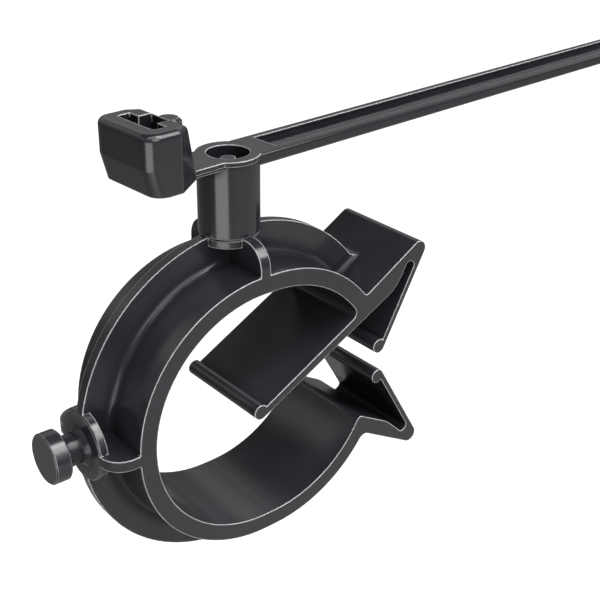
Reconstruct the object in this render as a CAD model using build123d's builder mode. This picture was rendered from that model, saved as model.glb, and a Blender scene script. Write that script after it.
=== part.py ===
"""Pipe clip cable tie: a push-on ring clip for a pipe, and a cable tie that swivels on one of its studs.

Millimetres. The pipe's axis is Y, the clip's mouth opens towards +X and the tie stands on top, along +Z.
The origin is the centre of the ring, at the middle of its width.
"""
import math
import os

from build123d import *

os.makedirs("parts", exist_ok=True)

# Ring of the clip
ring_bore = 23.0
ring_wall = 1.6
clip_width = 10.4
mouth_spread = 1.1          # the half with the mouth stands this far out from the other half
rib_height = 2.87
rib_thickness = 1.0
rib_root_round = 0.6
rib_end_round = 1.1         # where the rib's outer face runs up each tab

# Jaws: a thick tab runs out from the ring and folds back into a thin leaf with a bead at its end
upper_root_angle = 36.6
upper_tab_angle = 30.4
upper_leaf_angle = 61.7
upper_slot_width = 1.15
upper_bend_offset = 1.65
lower_root_angle = 34.1
lower_tab_angle = 29.6
lower_leaf_angle = 59.6
lower_slot_width = 0.95
lower_bend_offset = 2.2
tab_length = 10.15
tab_tip_round = 0.83
leaf_length = 13.0
leaf_thickness = 0.52
bead_radius = 0.7
slot_floor = 4.3            # along the leaf, from the sharp corner of the tip
slot_round = 0.45
slot_bend = 7.1             # along the leaf, from the sharp corner of the tip
slot_bend_round = 4.0
lower_web_thickness = 1.65
upper_root_round = 0.45
lower_root_round = 0.8
lower_kink_round = 0.5
rib_end_angle = 3.0         # how far inside each tab the rib ends
mouth_upper_angle = 31.0
mouth_lower_angle = 28.0

# Spring tongue, from the upper jaw to the middle of the bore
tongue_angle = 28.4
tongue_length = 13.0
tongue_thickness = 0.75
tongue_root_angle = 32.2
tongue_root_round = 0.7

# Studs, each on a round boss that the rib and two gussets carry
stud_seat = 15.75           # from the ring's centre to the flat seat under the stud
top_boss_radius = 2.6
side_boss_radius = 3.25
boss_height = 0.8
boss_chamfer = 0.15
gusset_thickness = 1.0
gusset_round = 2.1
stud_neck_radius = 1.4
stud_neck_length = 1.95
stud_root_chamfer = 0.45
stud_head_radius = 2.25
stud_head_height = 1.5
stud_head_chamfer = 0.12

# Tie: sleeve over the stud, with a blind recess on top
tie_turn = 4.0              # how far the tie is turned about the stud, out of the ring's plane
swivel_clearance = 0.05
end_clearance = 0.06
lip_radius = 1.9            # the bore of the lip that snaps over the stud's head
sleeve_radius = 2.7
eye_radius = 2.8
recess_radius = 1.85
gate_pin_radius = 0.65
gate_pin_drop = 0.5

# Tie: strap
strap_top = 22.7
strap_thickness = 0.95
strap_width = 4.6
neck_width = 3.9
neck_thickness = 0.7
flange_thickness = 0.43     # top layer of the neck and eye, which overhangs what is below it
flange_overhang = 0.15
strap_length = 139.0        # from the stud's axis to the tip
tail_length = 18.0
tail_width = 2.6
channel_width = 2.95
channel_depth = 0.5
channel_start = 4.1
teeth_start = 68.0
tooth_pitch = 1.2
tooth_count = 42
tooth_height = 0.4
strap_round = 0.25

# Tie: head, with a slot for the strap's end and a pawl that locks its teeth
head_width = 7.5
head_rise = 4.4             # above the strap's top face
head_back = 10.65           # from the stud's axis to the back wall
head_front_top = 6.5
head_front_foot = 4.85
head_waist = 1.55           # above the strap's top face, where the back wall starts to slope in
head_back_slope = 0.6
head_corner_round = 1.25
head_top_round = 0.55
front_corner_start = 7.6    # from the stud's axis, where the cut corner leaves the side wall
slot_back = 9.2             # from the stud's axis
slot_side_gap = 0.1
slot_depth_gap = 0.3
slot_corner_round = 0.4
pawl_width = 2.2
pawl_side_gap = 0.12
pawl_tip_gap = 0.1
window_front = 6.7          # from the stud's axis
pawl_root_top = 3.0         # above the strap's top face
pawl_root_bottom = 1.9
pawl_tip_top = 1.0
pawl_tip_bottom = 0.45
lug_radius = 1.1
lug_centre = 6.0            # from the stud's axis
lug_drop = 0.2
lug_chamfer = 0.3

# Worked out from the sizes above
ring_inner = ring_bore / 2
ring_outer = ring_inner + ring_wall
rib_radius = ring_outer + rib_height
half_width = clip_width / 2
mouth_centre = Vector(mouth_spread, 0)
neck_top = stud_seat + stud_neck_length
stud_top = neck_top + stud_head_height
recess_floor = stud_top + end_clearance + strap_thickness
strap_bottom = strap_top - strap_thickness
channel_floor = strap_top - channel_depth
channel_end = teeth_start + tooth_count * tooth_pitch
neck_bottom = strap_top - neck_thickness
flange_bottom = strap_top - flange_thickness
head_top = strap_top + head_rise
slot_front = slot_back - strap_thickness - slot_depth_gap
slot_end = strap_width / 2 + slot_side_gap
pawl_tip = slot_back - strap_thickness + channel_depth - pawl_tip_gap


def polar(length, degrees):
    """Vector of a given length and direction in a sketch."""
    angle = math.radians(degrees)
    return Vector(length * math.cos(angle), length * math.sin(angle))


def obround(radius, mode=Mode.ADD):
    """Two half circles about the ring's centre, the one at the mouth moved out by the spread."""
    with Locations((mouth_spread / 2, 0)):
        SlotCenterToCenter(mouth_spread, 2 * radius, mode=mode)


def jaw(side, root_angle, tab_angle, leaf_angle, slot_width, bend_offset, inner_corners):
    """Tab, leaf and bead of one jaw; side is 1 above the mouth and -1 below it."""
    root = mouth_centre + polar(ring_outer, side * root_angle)
    tip = root + polar(tab_length, side * tab_angle)
    back = polar(-1, side * leaf_angle)
    inward = polar(1, side * (leaf_angle + 90))
    leaf_end = tip + back * leaf_length
    slot_foot = tip + back * slot_floor + inward * leaf_thickness
    corners = [
        (mouth_centre + polar(ring_outer - ring_wall / 2, side * root_angle), 0),
        (tip, tab_tip_round),
        (leaf_end, 0),
        (leaf_end + inward * leaf_thickness, 0),
        (slot_foot, slot_round),
        (slot_foot + inward * slot_width, slot_round),
        (tip + back * slot_bend + inward * bend_offset, slot_bend_round),
        *[(corner, 0) for corner in inner_corners],
    ]
    with BuildSketch() as face:
        with BuildLine():
            FilletPolyline(
                *[point for point, _ in corners],
                radius=[size for _, size in corners],
                close=True,
            )
        make_face()
        with Locations(leaf_end + inward * bead_radius):
            Circle(bead_radius)
    return face.sketch


# Lower jaw: the inner face of its web runs on into the bore, which then trims it
lower_root = mouth_centre + polar(ring_outer, -lower_root_angle)
lower_web = lower_root + polar(lower_web_thickness, 90 - lower_tab_angle)
lower_kink = lower_web - polar(ring_wall, -lower_tab_angle)

# Upper jaw: the underside of its web runs on as the lower face of the tongue
upper_root = mouth_centre + polar(ring_outer, upper_root_angle)
tongue_root = mouth_centre + polar(ring_inner, tongue_root_angle)
tongue_side = polar(1, tongue_angle + 90)
tongue_upper = tongue_root - polar(tongue_length, tongue_angle)
tongue_lower = tongue_upper - tongue_side * tongue_thickness

with BuildPart() as pipe_clip:
    with BuildSketch(Plane.XZ) as clip_profile:
        obround(ring_outer)
        with BuildLine():
            Polyline(
                mouth_centre,
                mouth_centre + polar(2 * ring_outer, mouth_upper_angle),
                mouth_centre + polar(2 * ring_outer, -mouth_lower_angle),
                close=True,
            )
        make_face(mode=Mode.SUBTRACT)
        add(
            jaw(
                -1, lower_root_angle, lower_tab_angle, lower_leaf_angle, lower_slot_width, lower_bend_offset,
                [lower_kink - polar(ring_wall, -lower_tab_angle)],
            )
        )
        obround(ring_inner, mode=Mode.SUBTRACT)
        add(
            jaw(
                1, upper_root_angle, upper_tab_angle, upper_leaf_angle, upper_slot_width, upper_bend_offset,
                [tongue_lower, tongue_upper, tongue_root + polar(ring_wall / 2, tongue_angle)],
            )
        )
        with Locations(tongue_lower + tongue_side * bead_radius):
            Circle(bead_radius)
        for corner, size in (
            (upper_root, upper_root_round),
            (lower_root, lower_root_round),
            (tongue_root, tongue_root_round),
            (lower_kink, lower_kink_round),
        ):
            fillet(clip_profile.vertices().sort_by_distance(corner)[0], size)
    extrude(amount=half_width, both=True)

    # Rib round the ring at the middle of its width; it ends inside the two tabs
    with BuildSketch(Plane.XZ) as rib:
        obround(rib_radius)
        with BuildLine():
            Polyline(
                mouth_centre,
                mouth_centre + polar(2 * rib_radius, upper_root_angle - rib_end_angle),
                mouth_centre + polar(2 * rib_radius, rib_end_angle - lower_root_angle),
                close=True,
            )
        make_face(mode=Mode.SUBTRACT)
        obround(ring_outer - ring_wall / 2, mode=Mode.SUBTRACT)
    extrude(amount=rib_thickness / 2, both=True)
    rib_ends = pipe_clip.edges().filter_by(Axis.Y).filter_by(
        lambda edge: abs((edge.center() - mouth_centre).length - rib_radius) < 0.01
    )
    fillet(rib_ends.filter_by(lambda edge: edge.center().X > mouth_spread), rib_end_round)
    rib_roots = pipe_clip.edges().filter_by(GeomType.CIRCLE).filter_by(
        lambda edge: abs(edge.radius - ring_outer) < 0.01
    )
    fillet(
        rib_roots.filter_by(lambda edge: abs(abs(edge.center().Y) - rib_thickness / 2) < 0.01),
        rib_root_round,
    )

    # The two studs
    for across, along, boss_radius in (
        (Plane.XY, Plane.YZ, top_boss_radius),
        (Plane.YZ.rotated((0, 180, 0)), Plane.XY.rotated((0, 0, 90)), side_boss_radius),
    ):
        with BuildSketch(across.offset(stud_seat)):
            Circle(boss_radius)
        extrude(amount=rib_height, mode=Mode.SUBTRACT)
        with BuildSketch(along):
            with BuildLine():
                FilletPolyline(
                    (-half_width, ring_inner + ring_wall / 2),
                    (half_width, ring_inner + ring_wall / 2),
                    (half_width, stud_seat),
                    (-half_width, stud_seat),
                    radius=[0, 0, gusset_round, gusset_round],
                    close=True,
                )
            make_face()
        extrude(amount=gusset_thickness / 2, both=True)
        with BuildSketch(along):
            with BuildLine():
                Polyline(
                    (0, stud_seat - boss_height),
                    (boss_radius, stud_seat - boss_height),
                    (boss_radius, stud_seat - boss_chamfer),
                    (boss_radius - boss_chamfer, stud_seat),
                    (stud_neck_radius + stud_root_chamfer, stud_seat),
                    (stud_neck_radius, stud_seat + stud_root_chamfer),
                    (stud_neck_radius, neck_top),
                    (stud_head_radius - stud_head_chamfer, neck_top),
                    (stud_head_radius, neck_top + stud_head_chamfer),
                    (stud_head_radius, stud_top - stud_head_chamfer),
                    (stud_head_radius - stud_head_chamfer, stud_top),
                    (0, stud_top),
                    close=True,
                )
            make_face()
        revolve(axis=Axis((0, 0, 0), across.z_dir))

pipe_clip.part.label = "pipe_clip"
export_step(pipe_clip.part, "parts/pipe_clip.step")

# The tie is drawn with its strap along +X, then turned about the stud
with BuildPart() as cable_tie:
    with BuildSketch(Plane.XY.offset(strap_bottom)):
        with BuildLine():
            FilletPolyline(
                (gate_pin_radius, -strap_width / 2),
                (strap_length - tail_length, -strap_width / 2),
                (strap_length, -tail_width / 2),
                (strap_length, tail_width / 2),
                (strap_length - tail_length, strap_width / 2),
                (gate_pin_radius, strap_width / 2),
                radius=[0, 0, tail_width / 2 - strap_round, tail_width / 2 - strap_round, 0, 0],
                close=True,
            )
        make_face()
    extrude(amount=strap_thickness)
    fillet(cable_tie.faces().sort_by(Axis.Z)[-1].edges(), strap_round)
    with BuildSketch(Plane.XY.offset(channel_floor)):
        with Locations(((channel_start + channel_end) / 2, 0)):
            Rectangle(channel_end - channel_start, channel_width)
    extrude(amount=channel_depth, mode=Mode.SUBTRACT)
    with BuildSketch(Plane.XZ):
        for number in range(tooth_count):
            foot = teeth_start + number * tooth_pitch
            with BuildLine():
                Polyline(
                    (foot, channel_floor - tooth_height),
                    (foot, channel_floor + tooth_height),
                    (foot + tooth_pitch, channel_floor),
                    (foot + tooth_pitch, channel_floor - tooth_height),
                    close=True,
                )
            make_face()
    extrude(amount=channel_width / 2, both=True)

    # Head: side profile, then its rounds and cut corners
    with BuildSketch(Plane.XZ):
        with BuildLine():
            Polyline(
                (-head_back, head_top),
                (-head_back, strap_top + head_waist),
                (head_back_slope - head_back, neck_bottom),
                (-head_front_foot, neck_bottom),
                (-head_front_top, head_top),
                close=True,
            )
        make_face()
    extrude(amount=head_width / 2, both=True)
    back_edges = cable_tie.edges().filter_by(lambda edge: edge.center().X < head_back_slope - head_back)
    fillet(back_edges.filter_by(lambda edge: abs(edge.center().Y) > neck_width / 2), head_corner_round)
    for side in (-1, 1):
        with BuildSketch(Plane.XY.offset(neck_bottom)):
            with BuildLine():
                Polyline(
                    (-front_corner_start, side * head_width / 2),
                    (-head_front_foot, side * neck_width / 2),
                    (-head_front_foot, side * head_width / 2),
                    close=True,
                )
            make_face()
        extrude(amount=head_rise + neck_thickness, mode=Mode.SUBTRACT)
    fillet(cable_tie.faces().sort_by(Axis.Z)[-1].edges(), head_top_round)
    with BuildSketch(Plane.XZ):
        with BuildLine():
            Polyline(
                (-lug_centre, neck_bottom),
                (lug_radius - lug_centre, neck_bottom),
                (lug_radius - lug_centre, head_top - lug_drop - lug_chamfer),
                (lug_radius - lug_chamfer - lug_centre, head_top - lug_drop),
                (-lug_centre, head_top - lug_drop),
                close=True,
            )
        make_face()
    revolve(axis=Axis((-lug_centre, 0, 0), (0, 0, 1)))
    with BuildSketch(Plane.XY.offset(neck_bottom)):
        with BuildLine():
            FilletPolyline(
                (-slot_back, -slot_end),
                (-slot_front, -slot_end),
                (-slot_front, slot_end),
                (-slot_back, slot_end),
                radius=[slot_corner_round, 0, 0, slot_corner_round],
                close=True,
            )
        make_face()
        with Locations((-(slot_front + window_front) / 2, 0)):
            Rectangle(slot_front - window_front, pawl_width + 2 * pawl_side_gap)
    extrude(amount=head_rise + neck_thickness, mode=Mode.SUBTRACT)
    with BuildSketch(Plane.XZ):
        with BuildLine():
            Polyline(
                (-window_front, strap_top + pawl_root_top),
                (-pawl_tip, strap_top + pawl_tip_top),
                (-pawl_tip, strap_top + pawl_tip_bottom),
                (-window_front, strap_top + pawl_root_bottom),
                close=True,
            )
        make_face()
    extrude(amount=pawl_width / 2, both=True)

    # Neck between the head and the eye, with an overhanging top layer
    for width, height in (
        (neck_width, flange_thickness),
        (neck_width - 2 * flange_overhang, neck_thickness),
    ):
        with BuildSketch(Plane.XY.offset(strap_top)):
            with Locations((-(lug_centre + gate_pin_radius) / 2, 0)):
                Rectangle(lug_centre - gate_pin_radius, width)
        extrude(amount=-height)

    # Eye, sleeve, the snap lip round the stud's neck and the recess with its gate pin
    with BuildSketch(Plane.XY.offset(strap_top)):
        Circle((recess_radius + eye_radius) / 2)
    extrude(amount=-strap_thickness, mode=Mode.SUBTRACT)
    with BuildSketch(Plane.XZ):
        with BuildLine():
            Polyline(
                (lip_radius, stud_seat + end_clearance),
                (sleeve_radius, stud_seat + end_clearance),
                (sleeve_radius, flange_bottom),
                (eye_radius, flange_bottom),
                (eye_radius, strap_top),
                (recess_radius, strap_top),
                (recess_radius, recess_floor),
                (gate_pin_radius, recess_floor),
                (gate_pin_radius, strap_top - gate_pin_drop),
                (0, strap_top - gate_pin_drop),
                (0, stud_top + end_clearance),
                (stud_head_radius + swivel_clearance, stud_top + end_clearance),
                (stud_head_radius + swivel_clearance, neck_top - end_clearance),
                (lip_radius, neck_top - end_clearance),
                close=True,
            )
        make_face()
    revolve(axis=Axis.Z)

tie = cable_tie.part.rotate(Axis.Z, tie_turn)
tie.label = "cable_tie"
export_step(tie, "parts/cable_tie.step")
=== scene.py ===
import bpy
from mathutils import Matrix, Vector


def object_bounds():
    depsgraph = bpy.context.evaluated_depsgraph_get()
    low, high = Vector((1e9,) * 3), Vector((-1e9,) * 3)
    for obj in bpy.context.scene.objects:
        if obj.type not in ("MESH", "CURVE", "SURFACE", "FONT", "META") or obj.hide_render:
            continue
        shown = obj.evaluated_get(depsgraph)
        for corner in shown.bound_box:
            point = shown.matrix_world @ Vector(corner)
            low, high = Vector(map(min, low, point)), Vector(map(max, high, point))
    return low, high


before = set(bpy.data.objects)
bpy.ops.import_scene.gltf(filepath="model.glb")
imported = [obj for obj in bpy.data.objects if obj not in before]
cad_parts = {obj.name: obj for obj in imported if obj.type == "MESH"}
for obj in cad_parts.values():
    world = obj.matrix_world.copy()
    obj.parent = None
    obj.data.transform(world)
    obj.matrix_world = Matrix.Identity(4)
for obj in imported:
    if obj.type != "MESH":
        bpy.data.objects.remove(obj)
loaded_bounds = [list(map(float, corner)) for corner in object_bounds()]

MM = 0.001

# What the nylon of both pieces has in common
NYLON_IOR = 1.53
SKIN_SAMPLES = 6

# Clouds: where in the noise they begin and end, and what they do to the tone and the roughness
CLOUD_SCALE = 140
CLOUD_DETAIL = 3
CLOUD_TONE_SPAN = (0.3, 0.72)
CLOUD_TONE_SHARES = (0.82, 1.2)
CLOUD_ROUGH_SPAN = (0.3, 0.7)
CLOUD_ROUGH_CHANGE = (-0.04, 0.05)

GRAIN_DETAIL = 2
GRAIN_STRENGTH = 0.35

# Painted edge highlights: the cosine of the turn and the openness into the body, from no painted
# highlight to the full pale tone
EDGE_HIGHLIGHT_TURN = (0.96, 0.76)
EDGE_HIGHLIGHT_OPENNESS = (1, 0.85)

# Painted shade in creases: the openness and the sheen, from the depth of a crease to the open skin
CREASE_OPENNESS = (0.72, 0.98)
CREASE_SHADED_SHEEN = (0.05, 0.5)

# The room: its even light, and what the part mirrors from the horizon up to the ceiling
PAPER_WHITE = (1, 1, 1)
SKY_COLOUR = (0.98, 0.99, 1)
SKY_STRENGTH = 0.3
ROOM_STOPS = (
    (0.28, (0.28, 0.285, 0.29)),
    (0.42, (0.75, 0.755, 0.76)),
    (0.56, (0.75, 0.755, 0.76)),
    (0.70, (0.12, 0.123, 0.13)),
)

# The floor: its lengths in metres, its fade from the front to the back, and its paper fibre
FLOOR_SIZE = 4
FLOOR_DROP = 0.05
FLOOR_ROUGHNESS = 0.9
FLOOR_FADE_DEPTH = (-0.05, 0.10)
FLOOR_FADE_TONE = (0.34, 0.22)
FIBRE_SCALE = 300
FIBRE_DETAIL = 2
FIBRE_STRENGTH = 0.05
FIBRE_HEIGHT = 0.0001
CAMERA_LIFT = 0.95

# The camera, placed so that the clip's circles and long edges fall where the photo has them
SENSOR_WIDTH = 36
LENS_LENGTH = 66.41
NEAREST_VIEW = 0.005
CAMERA_PLACE = Vector((-51.39, -71.68, 52.94)) * MM
CAMERA_RIGHT = Vector((0.7737, -0.6335, 0.0120))
CAMERA_UP = Vector((0.2749, 0.3527, 0.8945))


class Graph:
    """The node tree of a material or a world, with a method for each kind of node that repeats."""

    def __init__(self, owner):
        owner.use_nodes = True
        self.nodes = owner.node_tree.nodes
        self.links = owner.node_tree.links

    def noise(self, scale, detail):
        """Noise that stays with the piece."""
        place = self.nodes.new("ShaderNodeTexCoord")
        noise = self.nodes.new("ShaderNodeTexNoise")
        noise.inputs["Scale"].default_value = scale
        noise.inputs["Detail"].default_value = detail
        self.links.new(place.outputs["Object"], noise.inputs["Vector"])
        return noise.outputs["Fac"]

    def remap(self, value, before, after=(0, 1)):
        """A value carried from one range to another, and held at the ends of it."""
        ranges = self.nodes.new("ShaderNodeMapRange")
        ranges.inputs["From Min"].default_value = before[0]
        ranges.inputs["From Max"].default_value = before[1]
        ranges.inputs["To Min"].default_value = after[0]
        ranges.inputs["To Max"].default_value = after[1]
        self.links.new(value, ranges.inputs["Value"])
        return ranges.outputs["Result"]

    def ramp(self, value, stops):
        """Colours that follow a value from stop to stop."""
        colours = self.nodes.new("ShaderNodeValToRGB")
        elements = colours.color_ramp.elements
        first, *between, last = stops
        for element, (position, colour) in zip(elements, (first, last)):
            element.position = position
            element.color = (*colour, 1)
        for position, colour in between:
            elements.new(position).color = (*colour, 1)
        self.links.new(value, colours.inputs["Fac"])
        return colours.outputs["Color"]

    def product(self, first, second):
        """Two values multiplied."""
        product = self.nodes.new("ShaderNodeMath")
        product.operation = "MULTIPLY"
        self.links.new(first, product.inputs[0])
        self.links.new(second, product.inputs[1])
        return product.outputs["Value"]

    def openness(self, reach, inside=False):
        """The share of short rays that meet nothing of the piece, outwards or into its body."""
        cover = self.nodes.new("ShaderNodeAmbientOcclusion")
        cover.samples = SKIN_SAMPLES
        cover.inside = inside
        cover.only_local = True
        cover.inputs["Distance"].default_value = reach
        return cover.outputs["AO"]

    def relief(self, height, strength, distance):
        """A bump node: the surface with a fine relief."""
        relief = self.nodes.new("ShaderNodeBump")
        relief.inputs["Strength"].default_value = strength
        relief.inputs["Distance"].default_value = distance
        self.links.new(height, relief.inputs["Height"])
        return relief

    def background(self, colour, strength):
        """An even background."""
        background = self.nodes.new("ShaderNodeBackground")
        background.inputs["Color"].default_value = (*colour, 1)
        background.inputs["Strength"].default_value = strength
        return background.outputs["Background"]

    def choice(self, switch, off, on):
        """One of two shaders, by the kind of ray."""
        mix = self.nodes.new("ShaderNodeMixShader")
        self.links.new(switch, mix.inputs["Fac"])
        self.links.new(off, mix.inputs[1])
        self.links.new(on, mix.inputs[2])
        return mix.outputs["Shader"]


def nylon(name, base, edge_highlight_tone, rough, grain_scale, grain_height, edge_radius, crease_reach):
    """Moulded black nylon: a clouded, finely grained satin with a pale painted highlight along its
    edges and painted shade in its creases.

    The grain's height, the edge's radius and the reach of a crease are in millimetres.
    """
    material = bpy.data.materials.new(name)
    graph = Graph(material)
    shader = graph.nodes["Principled BSDF"]
    shader.inputs["IOR"].default_value = NYLON_IOR

    # Faint clouds from the flow of the melt, in the tone and in the sheen
    cloud = graph.noise(CLOUD_SCALE, CLOUD_DETAIL)
    tones = [tuple(channel * share for channel in base) for share in CLOUD_TONE_SHARES]
    clouded_tone = graph.ramp(cloud, zip(CLOUD_TONE_SPAN, tones))
    rough_range = [rough + change for change in CLOUD_ROUGH_CHANGE]
    clouded_rough = graph.remap(cloud, CLOUD_ROUGH_SPAN, rough_range)
    graph.links.new(clouded_rough, shader.inputs["Roughness"])

    # Painted highlight on the edges: a pale tone where the rounded normal turns away from the flat
    # one over a ridge of the body
    edge = graph.nodes.new("ShaderNodeBevel")
    edge.samples = SKIN_SAMPLES
    edge.inputs["Radius"].default_value = edge_radius * MM
    flat = graph.nodes.new("ShaderNodeNewGeometry")
    turn = graph.nodes.new("ShaderNodeVectorMath")
    turn.operation = "DOT_PRODUCT"
    graph.links.new(edge.outputs["Normal"], turn.inputs[0])
    graph.links.new(flat.outputs["Normal"], turn.inputs[1])
    turned = graph.remap(turn.outputs["Value"], EDGE_HIGHLIGHT_TURN)
    ridge = graph.remap(graph.openness(2 * edge_radius * MM, inside=True), EDGE_HIGHLIGHT_OPENNESS)
    tone_with_edge_highlight = graph.nodes.new("ShaderNodeMix")
    tone_with_edge_highlight.data_type = "RGBA"
    tone_with_edge_highlight.inputs["B"].default_value = (*edge_highlight_tone, 1)
    graph.links.new(graph.product(turned, ridge), tone_with_edge_highlight.inputs["Factor"])
    graph.links.new(clouded_tone, tone_with_edge_highlight.inputs["A"])
    graph.links.new(tone_with_edge_highlight.outputs["Result"], shader.inputs["Base Color"])

    # Painted shade in creases: the reflection is turned down where short rays meet the piece
    crease_shaded_sheen = graph.remap(graph.openness(crease_reach * MM), CREASE_OPENNESS, CREASE_SHADED_SHEEN)
    graph.links.new(crease_shaded_sheen, shader.inputs["Specular IOR Level"])

    grain = graph.noise(grain_scale, GRAIN_DETAIL)
    skin = graph.relief(grain, GRAIN_STRENGTH, grain_height * MM)
    graph.links.new(edge.outputs["Normal"], skin.inputs["Normal"])
    graph.links.new(skin.outputs["Normal"], shader.inputs["Normal"])
    return material


def white_studio():
    """A white room that the part mirrors as grey at the horizon, pale above it and dark overhead."""
    world = bpy.data.worlds.new("studio")
    bpy.context.scene.world = world
    graph = Graph(world)
    graph.nodes.clear()
    place = graph.nodes.new("ShaderNodeTexCoord")
    split = graph.nodes.new("ShaderNodeSeparateXYZ")
    graph.links.new(place.outputs["Generated"], split.inputs["Vector"])
    room = graph.nodes.new("ShaderNodeBackground")
    graph.links.new(graph.ramp(split.outputs["Z"], ROOM_STOPS), room.inputs["Color"])
    sky = graph.background(SKY_COLOUR, SKY_STRENGTH)
    paper = graph.background(PAPER_WHITE, 1)
    path = graph.nodes.new("ShaderNodeLightPath")
    mirrored = graph.choice(path.outputs["Is Glossy Ray"], sky, room.outputs["Background"])
    seen = graph.choice(path.outputs["Is Camera Ray"], mirrored, paper)
    out = graph.nodes.new("ShaderNodeOutputWorld")
    graph.links.new(seen, out.inputs["Surface"])


def backdrop():
    """The floor: grey to the part and darker to the back, white to the camera.

    It is far enough below the part for a faint, soft shadow.
    """
    material = bpy.data.materials.new("paper")
    graph = Graph(material)
    shader = graph.nodes["Principled BSDF"]
    shader.inputs["Roughness"].default_value = FLOOR_ROUGHNESS
    place = graph.nodes.new("ShaderNodeTexCoord")
    depth = graph.nodes.new("ShaderNodeSeparateXYZ")
    graph.links.new(place.outputs["Object"], depth.inputs["Vector"])
    tone = graph.remap(depth.outputs["Y"], FLOOR_FADE_DEPTH, FLOOR_FADE_TONE)
    graph.links.new(tone, shader.inputs["Base Color"])
    fibre = graph.noise(FIBRE_SCALE, FIBRE_DETAIL)
    relief = graph.relief(fibre, FIBRE_STRENGTH, FIBRE_HEIGHT)
    graph.links.new(relief.outputs["Normal"], shader.inputs["Normal"])

    glow = graph.nodes.new("ShaderNodeEmission")
    glow.inputs["Color"].default_value = (*PAPER_WHITE, 1)
    path = graph.nodes.new("ShaderNodeLightPath")
    lift = graph.remap(path.outputs["Is Camera Ray"], (0, 1), (0, CAMERA_LIFT))
    graph.links.new(lift, glow.inputs["Strength"])
    total = graph.nodes.new("ShaderNodeAddShader")
    graph.links.new(shader.outputs["BSDF"], total.inputs[0])
    graph.links.new(glow.outputs["Emission"], total.inputs[1])
    graph.links.new(total.outputs["Shader"], graph.nodes["Material Output"].inputs["Surface"])

    floor_level = loaded_bounds[0][2] - FLOOR_DROP
    bpy.ops.mesh.primitive_plane_add(size=FLOOR_SIZE, location=(0, 0, floor_level))
    floor = bpy.context.object
    floor.name = "paper_floor"
    floor.data.materials.append(material)


def add_object(name, data):
    """A lamp or a camera, put into the scene."""
    added = bpy.data.objects.new(name, data)
    bpy.context.collection.objects.link(added)
    return added


def soft_lamp(name, place, target, width, height, watts):
    """A rectangular softbox that looks at a point on the part."""
    data = bpy.data.lights.new(name, "AREA")
    data.shape = "RECTANGLE"
    data.size = width
    data.size_y = height
    data.energy = watts
    lamp = add_object(name, data)
    lamp.location = place
    aim = Vector(target) - Vector(place)
    lamp.rotation_euler = aim.to_track_quat("-Z", "Y").to_euler()


def photo_camera():
    """The view of the photo."""
    data = bpy.data.cameras.new("camera")
    data.sensor_width = SENSOR_WIDTH
    data.lens = LENS_LENGTH
    data.clip_start = NEAREST_VIEW
    camera = add_object("camera", data)
    back = CAMERA_RIGHT.cross(CAMERA_UP)
    turn = Matrix((CAMERA_RIGHT, CAMERA_UP, back)).transposed().to_4x4()
    camera.matrix_world = Matrix.Translation(CAMERA_PLACE) @ turn
    return camera


# Each look's pale edge tone is a painted highlight along the edges, and its crease reach sets where
# painted shade turns the reflection down
looks = {
    "pipe_clip": nylon(
        "clip_nylon_satin",
        base=(0.0125, 0.0130, 0.0155),
        edge_highlight_tone=(0.62, 0.625, 0.63),
        rough=0.17,
        grain_scale=9000,
        grain_height=0.008,
        edge_radius=0.20,
        crease_reach=1.6,
    ),
    "cable_tie": nylon(
        "tie_nylon_satin",
        base=(0.0095, 0.0100, 0.0120),
        edge_highlight_tone=(0.60, 0.605, 0.61),
        rough=0.15,
        grain_scale=7000,
        grain_height=0.010,
        edge_radius=0.21,
        crease_reach=1.0,
    ),
}
for node, material in looks.items():
    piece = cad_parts[node]
    for slot in piece.material_slots:
        slot.material = material

white_studio()
backdrop()
soft_lamp(
    "low_left",
    place=(-0.078, -0.045, -0.012),
    target=(0, 0, 0.014),
    width=0.075,
    height=0.050,
    watts=0.037,
)
soft_lamp(
    "key_top",
    place=(0.0, -0.12, 0.42),
    target=(0, 0, 0),
    width=0.75,
    height=0.14,
    watts=1.5,
)
soft_lamp(
    "front_high",
    place=(0.16, -0.20, 0.32),
    target=(-0.012, 0, 0.027),
    width=0.18,
    height=0.30,
    watts=1.4,
)
soft_lamp(
    "front_fill",
    place=(-0.04, -0.31, 0.20),
    target=(0, 0, 0.005),
    width=0.30,
    height=0.30,
    watts=1.0,
)

bpy.context.scene.camera = photo_camera()
bpy.context.scene.view_settings.view_transform = "Standard"
